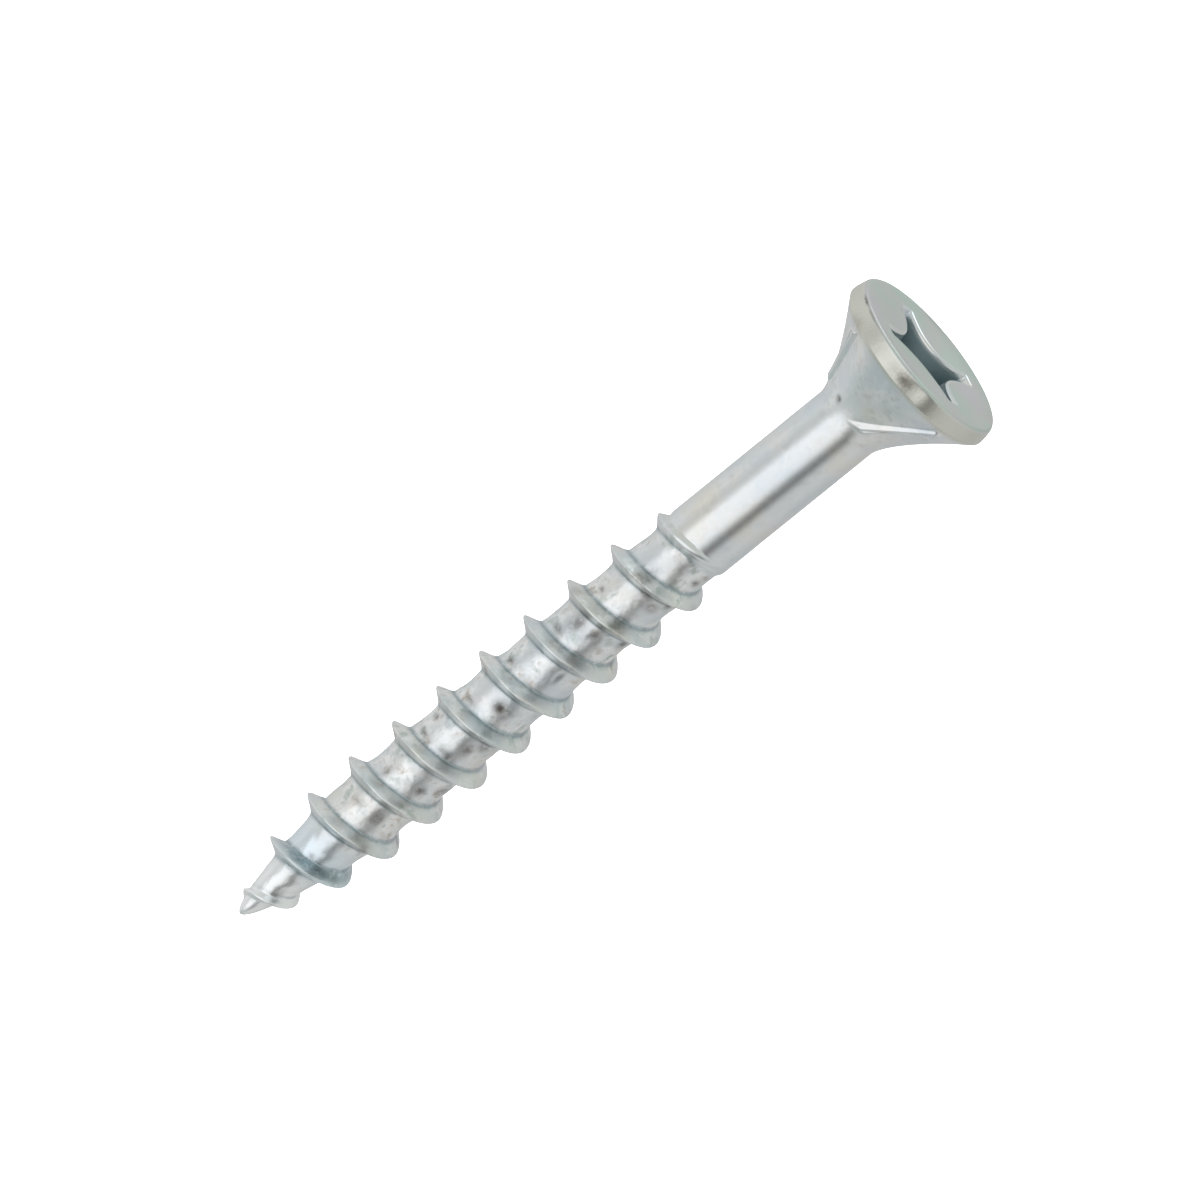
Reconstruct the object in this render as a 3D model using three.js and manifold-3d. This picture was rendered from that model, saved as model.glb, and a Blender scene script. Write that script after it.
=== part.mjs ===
// Countersunk wood screw with a cross recess, right-hand single-start thread.
// Millimetres. +Z runs along the screw towards the head; the origin is the centre of
// the flat top of the head, so the whole screw lies below z = 0.
//
// The real screw is one piece of steel wire: the head is cold-headed, the thread and the
// point are rolled. Its four working zones are modelled as four solids that meet face to
// face, from the top down: head, shank, threaded_section and point.

import * as THREE from 'three';
import { mergeVertices } from 'three/addons/utils/BufferGeometryUtils.js';
import Module from 'manifold-3d';

// Driving dimensions.
const screwLength = 38.1; // over all, 1 1/2 in
const headRadius = 4.09;
const faceRadius = 3.9; // the flat top, inside its rounded edge
const rimEdgeDrop = 0.3; // height of the rounded edge of the top
const rimHeight = 0.8; // narrow straight land round the head
const headHeight = 4.6; // top of the head to the start of the plain shank
const flareExponent = 1.38; // 1 is a plain cone, more is a deeper curve
const shankRadius = 1.65;
const shankEnd = -11.6; // the rolled zone starts below this
const coreRadius = 1.5; // steel between the turns of the thread
const shoulderTop = -12.7; // the shank tapers down to the core
const shoulderBottom = -13.3; // between these two heights
const pointLength = 6.4;
const pointExponent = 0.55; // the point is a slender, slightly blunt ogive
const tipStep = 0.012; // first profile point of the ogive, in parts of its length

const thread = {
  pitch: 2.41,
  height: 0.69, // crest above core
  crestHalfWidth: 0.09,
  flankHalfWidth: 0.25, // at a third of the height: the flanks are hollow
  baseHalfWidth: 0.5, // at the sunk foot of the ridge
  footDepth: 0.16, // how far the foot is sunk into the core
  crestAtTip: 1.064, // height of the crest above the tip where it crosses +X
  start: 0.55, // first trace of the ridge, above the tip
  fullAbovePoint: 3.6, // full height from here up, above the tip
  firstHeight: 0.3, // part of the full height at the first trace
  fadeStart: 21.0, // the ridge runs out below the shank from here,
  end: 26.3, // to its last trace here, both above the tip
  fadePower: 3.2, // 1 is a straight run-out, more keeps its height longer
  stepsPerTurn: 18,
};

const recess = {
  wingReach: 2.75, // centre to the end of a wing, at the top
  wingHalfWidth: 0.29, // at the end of a wing, at the top
  landReach: 1.28, // centre to the nose of the land between two wings
  depth: 2.0, // down to where the wings end
  bottom: 2.65, // down to the middle of the floor
  wingTaper: 0.5, // how far a wing draws in for each millimetre of depth
  bottomReach: 0.35,
  curvePoints: 6, // on each land
  clearAbove: 0.4, // the cutter stands this far above the head
};

const rib = {
  count: 4,
  offset: 1.515, // each rib lies in a plane this far from the axis
  angle: THREE.MathUtils.degToRad(19.5), // direction of the first plane's normal from +X
  halfWidth: 0.2,
  height: 0.16, // above the flare
  root: 0.35, // how far its foot goes into the head
  innerRadius: 1.8, // where it rises out of the flare
  outerRadius: 3.95, // where it meets the rim
  steps: 9,
};

const roundSegments = 40;
const flareSteps = 10;
const pointSteps = 9;

const wasm = await Module();
wasm.setup();

const zinc = { color: 0xb9bfc0, roughness: 0.28, metalness: 1.0 };

// A closed three.js geometry as a manifold solid.
function toSolid(geometry) {
  const bare = geometry.clone();
  bare.deleteAttribute('normal');
  bare.deleteAttribute('uv');
  const merged = mergeVertices(bare, 1e-5);
  return new wasm.Manifold(new wasm.Mesh({
    numProp: 3,
    vertProperties: Float32Array.from(merged.attributes.position.array),
    triVerts: Uint32Array.from(merged.index.array),
  }));
}

// A manifold solid back as a three.js geometry.
function toGeometry(solid) {
  const mesh = solid.getMesh();
  const geometry = new THREE.BufferGeometry();
  geometry.setAttribute('position', new THREE.BufferAttribute(mesh.vertProperties, 3));
  geometry.setIndex(new THREE.BufferAttribute(mesh.triVerts, 1));
  geometry.computeVertexNormals();
  return geometry;
}

// A solid of revolution about Z from [radius, height] points, bottom to top.
function turned(points, segments = roundSegments) {
  const profile = points.map(([radius, height]) => new THREE.Vector2(radius, height));
  const geometry = new THREE.LatheGeometry(profile, segments);
  geometry.rotateX(Math.PI / 2); // LatheGeometry turns about Y
  return toSolid(geometry);
}

// A closed solid skinned over rings of points, each ring with the same number of points.
// Each end is closed by a fan round the ring's centre.
function lofted(rings) {
  const size = rings[0].length;
  const vertices = rings.flat();
  const middle = (ring) => ring
    .reduce((sum, point) => sum.add(point), new THREE.Vector3())
    .divideScalar(ring.length);
  const firstCentre = vertices.push(middle(rings[0])) - 1;
  const lastCentre = vertices.push(middle(rings.at(-1))) - 1;
  const lastRing = (rings.length - 1) * size;
  const triangles = [];
  for (let k = 0; k < size; k += 1) {
    const next = (k + 1) % size;
    triangles.push([firstCentre, next, k]);
    triangles.push([lastCentre, lastRing + k, lastRing + next]);
    for (let row = 0; row < lastRing; row += size) {
      triangles.push([row + k, row + next, row + size + next]);
      triangles.push([row + k, row + size + next, row + size + k]);
    }
  }
  const sixVolumes = triangles.reduce((sum, [a, b, c]) => sum
    + vertices[a].dot(new THREE.Vector3().crossVectors(vertices[b], vertices[c])), 0);
  if (sixVolumes < 0) {
    triangles.forEach((triangle) => triangle.reverse());
  }
  const geometry = new THREE.BufferGeometry().setFromPoints(vertices);
  geometry.setIndex(triangles.flat());
  return toSolid(geometry);
}

// The flare under the head: radius at a height, and height at a radius.
const flareBottom = -headHeight;
const flareTop = -rimHeight;

function flareRadius(height) {
  const part = (height - flareBottom) / (flareTop - flareBottom);
  return shankRadius + (headRadius - shankRadius) * part ** flareExponent;
}

function flareHeight(radius) {
  const part = (radius - shankRadius) / (headRadius - shankRadius);
  return flareBottom + (flareTop - flareBottom) * Math.max(part, 0) ** (1 / flareExponent);
}

function headBlank() {
  const outline = [[0, flareBottom], [shankRadius, flareBottom]];
  for (let step = 1; step <= flareSteps; step += 1) {
    const height = THREE.MathUtils.lerp(flareBottom, flareTop, step / flareSteps);
    outline.push([flareRadius(height), height]);
  }
  outline.push([headRadius, -rimEdgeDrop]);
  outline.push([THREE.MathUtils.lerp(faceRadius, headRadius, 0.7), -rimEdgeDrop * 0.3]);
  outline.push([faceRadius, 0]);
  outline.push([0, 0]);
  return turned(outline);
}

// One slim rib across the flare. It runs straight, in a plane parallel to the axis.
function flareRib(turn) {
  const across = new THREE.Vector2(Math.cos(rib.angle + turn), Math.sin(rib.angle + turn));
  const along = new THREE.Vector2(-across.y, across.x);
  const reach = (radius) => Math.sqrt(radius ** 2 - rib.offset ** 2);
  const onFlare = (side, run, lift) => {
    const flat = across.clone().multiplyScalar(rib.offset + side).addScaledVector(along, run);
    return new THREE.Vector3(flat.x, flat.y, flareHeight(flat.length()) - lift);
  };
  const rings = [];
  for (let step = 0; step <= rib.steps; step += 1) {
    const part = step / rib.steps;
    const run = THREE.MathUtils.lerp(reach(rib.innerRadius), reach(rib.outerRadius), part);
    const rise = Math.sin(Math.PI * THREE.MathUtils.lerp(0.08, 0.94, part)) ** 0.5;
    rings.push([
      onFlare(-rib.halfWidth, run, -rib.root),
      onFlare(-rib.halfWidth, run, -0.03),
      onFlare(0, run, rib.height * rise),
      onFlare(rib.halfWidth, run, -0.03),
      onFlare(rib.halfWidth, run, -rib.root),
    ]);
  }
  return lofted(rings);
}

// The cutter for the cross recess: a four-pointed star that tapers downwards.
function recessRing(height, reach, halfWidth, landReach) {
  const nose = landReach / Math.SQRT2;
  const pull = (4 * nose - reach - halfWidth) / 2;
  const ring = [];
  for (let wing = 0; wing < 4; wing += 1) {
    const land = new THREE.QuadraticBezierCurve(
      new THREE.Vector2(reach, halfWidth),
      new THREE.Vector2(pull, pull),
      new THREE.Vector2(halfWidth, reach),
    );
    for (const point of land.getPoints(recess.curvePoints)) {
      point.rotateAround(new THREE.Vector2(), wing * Math.PI / 2);
      ring.push(new THREE.Vector3(point.x, point.y, height));
    }
  }
  return ring;
}

function crossRecess() {
  const { wingReach, wingHalfWidth, landReach, wingTaper, depth, bottom, clearAbove } = recess;
  const deepReach = wingReach - wingTaper * depth;
  return lofted([
    recessRing(clearAbove, wingReach + wingTaper * clearAbove, wingHalfWidth, landReach),
    recessRing(-depth, deepReach, wingHalfWidth * 0.8, landReach * 0.8),
    recessRing(-bottom, recess.bottomReach, recess.bottomReach * 0.5, recess.bottomReach * 0.8),
  ]);
}

function makeHead() {
  let solid = headBlank();
  for (let index = 0; index < rib.count; index += 1) {
    solid = solid.add(flareRib(index * 2 * Math.PI / rib.count));
  }
  return solid.subtract(crossRecess());
}

function makeShank() {
  return turned([
    [0, shankEnd],
    [shankRadius, shankEnd],
    [shankRadius, flareBottom],
    [0, flareBottom],
  ]);
}

// Radius of the steel under the thread at a height above the tip.
function coreAt(rise) {
  return coreRadius * Math.min(rise / pointLength, 1) ** pointExponent;
}

function rolledCore() {
  const outline = [[0, -screwLength]];
  for (let step = 0; step <= pointSteps; step += 1) {
    const part = THREE.MathUtils.lerp(Math.sqrt(tipStep), 1, step / pointSteps) ** 2;
    outline.push([coreAt(part * pointLength), part * pointLength - screwLength]);
  }
  outline.push([coreRadius, shoulderBottom]);
  outline.push([shankRadius, shoulderTop]);
  outline.push([shankRadius, shankEnd]);
  outline.push([0, shankEnd]);
  return turned(outline);
}

// Part of the full thread height at a height above the tip: it grows over the point
// and runs out again below the shank.
function threadGrowth(rise) {
  const grow = THREE.MathUtils.smoothstep(rise, thread.start, thread.fullAbovePoint);
  const faded = Math.max((rise - thread.fadeStart) / (thread.end - thread.fadeStart), 0);
  const left = 1 - faded ** thread.fadePower;
  return Math.min(THREE.MathUtils.lerp(thread.firstHeight, 1, grow), left);
}

function threadRidge() {
  const turnsAt = (rise) => (rise - thread.crestAtTip) / thread.pitch;
  const firstTurn = turnsAt(thread.start);
  const lastTurn = turnsAt(thread.end);
  const steps = Math.round((lastTurn - firstTurn) * thread.stepsPerTurn);
  const rings = [];
  for (let step = 0; step <= steps; step += 1) {
    const turns = THREE.MathUtils.lerp(firstTurn, lastTurn, step / steps);
    const rise = thread.crestAtTip + turns * thread.pitch;
    const core = coreAt(rise);
    const crest = core + thread.height * threadGrowth(rise);
    const foot = core - thread.footDepth;
    const waist = core + (crest - core) / 3;
    const slim = Math.min(1, core / coreRadius + 0.15);
    const section = [
      [foot, -thread.baseHalfWidth],
      [waist, -thread.flankHalfWidth],
      [crest, -thread.crestHalfWidth],
      [crest, thread.crestHalfWidth],
      [waist, thread.flankHalfWidth],
      [foot, thread.baseHalfWidth],
    ];
    const angle = turns * 2 * Math.PI;
    rings.push(section.map(([radius, side]) => new THREE.Vector3(
      Math.cos(angle) * Math.max(radius, 0.05),
      Math.sin(angle) * Math.max(radius, 0.05),
      rise - screwLength + side * slim,
    )));
  }
  return lofted(rings);
}

// A plain round block between two heights, wider than the thread, to split it with.
function slice(bottom, top) {
  const block = new THREE.CylinderGeometry(headRadius, headRadius, top - bottom, 12);
  block.rotateX(Math.PI / 2);
  block.translate(0, 0, (bottom + top) / 2);
  return toSolid(block);
}

const pointTop = pointLength - screwLength;
const rolledZone = rolledCore().add(threadRidge());
const solids = {
  head: makeHead(),
  shank: makeShank(),
  threaded_section: rolledZone.intersect(slice(pointTop, shankEnd)),
  point: rolledZone.intersect(slice(-screwLength - 1, pointTop)),
};

const screw = new THREE.Group();
for (const [name, solid] of Object.entries(solids)) {
  const mesh = new THREE.Mesh(toGeometry(solid), new THREE.MeshStandardMaterial(zinc));
  mesh.name = name;
  screw.add(mesh);
}

export default screw;
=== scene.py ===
# Countersunk wood screw in bright zinc plate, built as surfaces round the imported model.
# Metres. +Z runs up the screw to the flat top of the head, which is at z = 0.
import math

import bpy
import numpy as np
from mathutils import Matrix, Vector


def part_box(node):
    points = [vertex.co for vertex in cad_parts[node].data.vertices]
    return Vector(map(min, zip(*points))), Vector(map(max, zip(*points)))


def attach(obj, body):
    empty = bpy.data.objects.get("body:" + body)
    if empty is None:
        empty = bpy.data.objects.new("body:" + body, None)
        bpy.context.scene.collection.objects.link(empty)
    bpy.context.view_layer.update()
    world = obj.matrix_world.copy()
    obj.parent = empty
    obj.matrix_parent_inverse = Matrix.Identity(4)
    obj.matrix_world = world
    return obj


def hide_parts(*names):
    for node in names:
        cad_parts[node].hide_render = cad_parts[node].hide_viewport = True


mm = 0.001
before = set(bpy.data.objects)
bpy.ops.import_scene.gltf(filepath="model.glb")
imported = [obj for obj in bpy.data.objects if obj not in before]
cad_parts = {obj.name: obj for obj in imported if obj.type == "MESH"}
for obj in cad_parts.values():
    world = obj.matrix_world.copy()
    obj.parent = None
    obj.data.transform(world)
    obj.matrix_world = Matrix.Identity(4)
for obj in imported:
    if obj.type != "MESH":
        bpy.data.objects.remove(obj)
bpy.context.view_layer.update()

# Heights and radii that the CAD settles
headLow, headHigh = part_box("head")
shankLow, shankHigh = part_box("shank")
rolledLow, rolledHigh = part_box("threaded_section")
pointLow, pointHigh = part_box("point")
faceHeight = headHigh.z
rimRadius = headHigh.x
shankRadius = shankHigh.x
tipHeight = pointLow.z
screwLength = faceHeight - tipHeight
print("frame loaded:", sorted(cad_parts))


# Mesh helpers

def ringFaces(rows, columns):
    # Two triangles for each cell of a grid that closes on itself sideways
    row, column = np.meshgrid(np.arange(rows - 1), np.arange(columns), indexing="ij")
    nextColumn = (column + 1) % columns
    a, b = row * columns + column, row * columns + nextColumn
    c, d = b + columns, a + columns
    return np.concatenate([np.stack([a, b, c], -1).reshape(-1, 3),
                           np.stack([a, c, d], -1).reshape(-1, 3)])


def fanFaces(centre, ring, upwards):
    # A fan from one middle point to a closed ring
    after = np.roll(ring, -1)
    middle = np.full_like(ring, centre)
    return np.stack([middle, ring, after] if upwards else [middle, after, ring], -1)


def unit(vectors):
    # Each vector divided by its own length
    return vectors / np.maximum(np.linalg.norm(vectors, axis=-1, keepdims=True), 1e-12)


def gridNormals(points):
    # Cross product of the step round the grid and the step up it
    around = np.roll(points, -1, axis=1) - np.roll(points, 1, axis=1)
    up = np.gradient(points, axis=0)
    return unit(np.cross(around, up))


def meshPiece(name, points, faces, normals, flatCount, masks):
    # flatCount: how many faces at the end of the list are flat end caps
    used, faces = np.unique(faces, return_inverse=True)
    faces = faces.reshape(-1, 3).astype(np.int32)
    points, normals = points[used], normals[used]
    mesh = bpy.data.meshes.new(name)
    mesh.vertices.add(len(points))
    mesh.vertices.foreach_set("co", points.astype(np.float32).ravel())
    mesh.loops.add(faces.size)
    mesh.loops.foreach_set("vertex_index", faces.ravel())
    mesh.polygons.add(len(faces))
    mesh.polygons.foreach_set("loop_start", np.arange(0, faces.size, 3, dtype=np.int32))
    mesh.update(calc_edges=True)
    mesh.validate()
    mesh.polygons.foreach_set("use_smooth", np.ones(len(faces), bool))
    loopNormals = normals[faces]
    if flatCount:
        corners = points[faces[-flatCount:]]
        flat = np.cross(corners[:, 1] - corners[:, 0], corners[:, 2] - corners[:, 0])
        loopNormals[-flatCount:] = unit(flat)[:, None, :]
    mesh.normals_split_custom_set(loopNormals.reshape(-1, 3).tolist())
    for key, values in masks.items():
        layer = mesh.attributes.new(key, "FLOAT", "POINT")
        layer.data.foreach_set("value", values[used].astype(np.float32))
    piece = bpy.data.objects.new(name, mesh)
    bpy.context.scene.collection.objects.link(piece)
    return piece


def smoothStep(value, low, high):
    # 0 below low, 1 above high, and part^2 * (3 - 2 * part) between them
    part = np.clip((value - low) / (high - low), 0.0, 1.0)
    return part * part * (3 - 2 * part)


def ripple(seed, angle, height, rounds, waveLength, count=9):
    # The mean of sine waves round and up the screw, sin(turns * angle + pace * height + phase),
    # times 1.8, which brings most of it between -1 and 1
    random = np.random.default_rng(seed)
    total = np.zeros(np.broadcast(angle, height).shape)
    for _ in range(count):
        turns = random.integers(-rounds, rounds + 1)
        pace = 2 * math.pi / (waveLength * random.uniform(0.6, 1.6))
        phase = random.uniform(0, 2 * math.pi)
        total = total + np.sin(turns * angle + pace * height + phase)
    return total / count * 1.8


def dented(dents, angle, height, radius):
    # Each dent is a bell, depth * exp(-(across / wide)^2 - (along / tall)^2), with bearings in
    # degrees and heights on the same scale as the height given; returns depth and darkening, a
    # stain on most marks and painted shade on some placed ones
    depthSum = np.zeros(np.broadcast(angle, height).shape)
    stainAndShadeMost = np.zeros_like(depthSum)
    for bearing, place, wide, tall, depth, stainAndShade in dents:
        turn = np.mod(angle - math.radians(bearing) + math.pi, 2 * math.pi) - math.pi
        near = np.exp(-(turn * radius / wide) ** 2 - ((height - place) / tall) ** 2)
        depthSum += depth * near
        stainAndShadeMost = np.maximum(stainAndShadeMost, stainAndShade * near)
    return depthSum, stainAndShadeMost


def scatteredDents(seed, count, low, high, sizes, depths, stainShare):
    # Random marks, evenly spread round and up: the same six numbers each as a placed one
    random = np.random.default_rng(seed)
    bearing, place = random.uniform(0, 360, count), random.uniform(low, high, count)
    wide = random.uniform(sizes[0], sizes[1], count)
    tall = wide * random.uniform(0.5, 1.5, count)
    depth = random.uniform(depths[0], depths[1], count)
    stainAndShade = random.uniform(0.15, 0.75, count) * (random.uniform(0, 1, count) < stainShare)
    return np.stack([bearing, place, wide, tall, depth, stainAndShade], -1).tolist()


def softPath(corners, count, softness):
    # A line through the corners, evenly spaced, with its corners rounded by averaging
    corners = np.asarray(corners, float)
    samples = 1200
    lengths = np.concatenate([[0], np.cumsum(np.linalg.norm(np.diff(corners, axis=0), axis=1))])
    dense = np.linspace(0, lengths[-1], samples)
    line = np.stack([np.interp(dense, lengths, corners[:, k]) for k in range(2)], -1)
    reach = max(int(softness / lengths[-1] * samples), 1)
    kernel = np.hanning(2 * reach + 3)[1:-1]
    kernel /= kernel.sum()
    padded = np.concatenate([2 * line[0] - line[reach:0:-1], line,
                             2 * line[-1] - line[-2:-reach - 2:-1]])
    soft = np.stack([np.convolve(padded[:, k], kernel, "valid") for k in range(2)], -1)
    travelled = np.concatenate([[0], np.cumsum(np.linalg.norm(np.diff(soft, axis=0), axis=1))])
    even = np.linspace(0, travelled[-1], count)
    return np.stack([np.interp(even, travelled, soft[:, k]) for k in range(2)], -1)


# The head
head = {
    "columns": 400,
    "flareRows": 60,
    "sideRows": 165,
    "topRows": 22,
    "lipRows": 8,
    "wallRows": 22,
    "floorRows": 12,
    "landPoints": 60,
    "rimDepth": 0.80 * mm,  # from the top down to the foot of the narrow land
    "faceRadius": 3.90 * mm,
    "flareExponent": 1.38,
    "edgeSoftness": 0.05 * mm,
    # corners of the land and its round edge: in from the rim or the face, and down
    "rimCorners": ((0.005 * mm, 0.62 * mm), (0.06 * mm, 0.30 * mm), (0.105 * mm, 0.12 * mm)),
    "faceCorners": ((0.0, 0.015 * mm), (0.08 * mm, 0.0), (0.4 * mm, 0.0)),
    "dish": 0.15 * mm,  # the top sinks this far towards the recess
    "dishRadii": (1.0 * mm, 3.4 * mm),
    "wingReach": 2.75 * mm,
    "wingHalfWidth": 0.29 * mm,
    "landReach": 1.28 * mm,
    "recessDepth": 2.0 * mm,
    "recessBottom": 2.65 * mm,
    "wingTaper": 0.5,  # a wing draws in this much for each unit of depth
    "wingNarrowing": 0.1,  # and narrows by this share for each mm of depth
    "landSoftness": 0.10 * mm,
    "lipRadius": 0.15 * mm,
    "ribCount": 4,
    "ribOffset": 1.515 * mm,  # distance of each rib's plane from the axis
    "ribAngle": math.radians(19.5),
    "ribTop": 0.07 * mm,  # half the width of its top
    "ribFoot": 0.25 * mm,  # half its width at the foot
    "ribHeight": 0.15 * mm,
    "ribGroove": 0.03 * mm,  # depth and half width of the groove along its top
    "ribGrooveHalf": 0.05 * mm,
    "ribInner": 1.80 * mm,
    "ribOuter": 3.95 * mm,
    "ribFades": (1.12, 0.96),  # full from this many times ribInner to this many ribOuter
    "waviness": 0.007 * mm,
    "rimWaviness": 0.010 * mm,
    "flareEase": 0.5 * mm,  # marks and waves fade in over these heights
    "jointEase": 0.4 * mm,
    "rimEase": 0.3 * mm,
    "rimTop": (0.2 * mm, 0.05 * mm),  # below the top, where the rim's tint ends
    "flatTop": (0.15 * mm, 0.05 * mm),  # below the top, where the face's tint starts
    "recessShade": (0.22 * mm, 0.42 * mm),  # depths where the painted shade of the recess starts
    "flareMottle": 0.35,
    "rimMottle": 0.5,
    "topMottle": 0.3,
    # bearing, height, width, tallness, depth and darkening of each mark: painted shadow on the
    # two flat marks at -0.10 mm, a stain on the rest
    "dents": [
        (51.5, -0.42 * mm, 0.52 * mm, 0.7 * mm, 0.090 * mm, 0.0),
        (43, -0.46 * mm, 0.42 * mm, 0.30 * mm, 0.03 * mm, 0.8),
        (36, -0.50 * mm, 0.50 * mm, 0.40 * mm, 0.02 * mm, 0.25),
        (12.5, -3.75 * mm, 0.16 * mm, 0.13 * mm, 0.05 * mm, 0.75),
        (20, -0.45 * mm, 0.9 * mm, 0.5 * mm, 0.03 * mm, 0.1),
        (62, -1.9 * mm, 0.5 * mm, 0.4 * mm, 0.02 * mm, 0.1),
        (356, -0.8 * mm, 0.5 * mm, 0.3 * mm, 0.04 * mm, 0.3),
        # these two flat marks paint a shadow line along the top edge
        (344, -0.10 * mm, 0.40 * mm, 0.045 * mm, 0.0, 0.9),
        (358, -0.10 * mm, 0.75 * mm, 0.04 * mm, 0.0, 0.5),
        (150, -0.5 * mm, 0.7 * mm, 0.4 * mm, 0.04 * mm, 0.2),
        (235, -0.4 * mm, 0.6 * mm, 0.5 * mm, 0.05 * mm, 0.3),
        (290, -2.2 * mm, 0.4 * mm, 0.3 * mm, 0.03 * mm, 0.2),
    ],
}


def recessOutline(depth):
    # Quarter outline: half the end of a wing, a quadratic curve in to the nose of the land
    # and out again, half the end of the next wing; turned four times
    reach = head["wingReach"] - head["wingTaper"] * depth
    narrow = 1 - head["wingNarrowing"] * depth / mm
    half, nose = head["wingHalfWidth"] * narrow, head["landReach"] * narrow / math.sqrt(2)
    pull = (4 * nose - reach - half) / 2
    t = np.linspace(0, 1, head["landPoints"])[:, None]
    start, middle, end = (np.array(p) for p in ((reach, half), (pull, pull), (half, reach)))
    land = (1 - t) ** 2 * start + 2 * t * (1 - t) * middle + t ** 2 * end
    quarter = np.concatenate([[(reach, 0)], land, [(0, reach)]])
    quarter = softPath(quarter, head["columns"] // 4 + 1, head["landSoftness"])[:-1]
    turns = []
    for wing in range(4):
        c, s = round(math.cos(wing * math.pi / 2)), round(math.sin(wing * math.pi / 2))
        turns.append(quarter @ np.array([[c, s], [-s, c]]))
    return np.concatenate(turns)


def ribLift(x, y):
    # Each rib is a low ridge along the line (distance from the axis = ribOffset), seen from
    # above; it is level across the top but for a shallow groove, and fades at both ends
    total = np.zeros_like(x)
    radius = np.hypot(x, y)
    innerFade, outerFade = head["ribFades"]
    ends = (smoothStep(radius, head["ribInner"], head["ribInner"] * innerFade)
            * (1 - smoothStep(radius, head["ribOuter"] * outerFade, head["ribOuter"])))
    for index in range(head["ribCount"]):
        angle = head["ribAngle"] + index * 2 * math.pi / head["ribCount"]
        side = x * math.cos(angle) + y * math.sin(angle) - head["ribOffset"]
        along = y * math.cos(angle) - x * math.sin(angle)
        section = 1 - smoothStep(np.abs(side), head["ribTop"], head["ribFoot"])
        groove = 1 - smoothStep(np.abs(side), 0, head["ribGrooveHalf"])
        ridge = head["ribHeight"] * section - head["ribGroove"] * groove
        total += ridge * ends * (along > 0)
    return total


def dishAt(xy):
    # Height of the top against the flat rim: -dish * (1 - smooth step of the radius)
    radius = np.linalg.norm(xy, axis=-1)
    return -head["dish"] * (1 - smoothStep(radius, *head["dishRadii"]))


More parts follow.
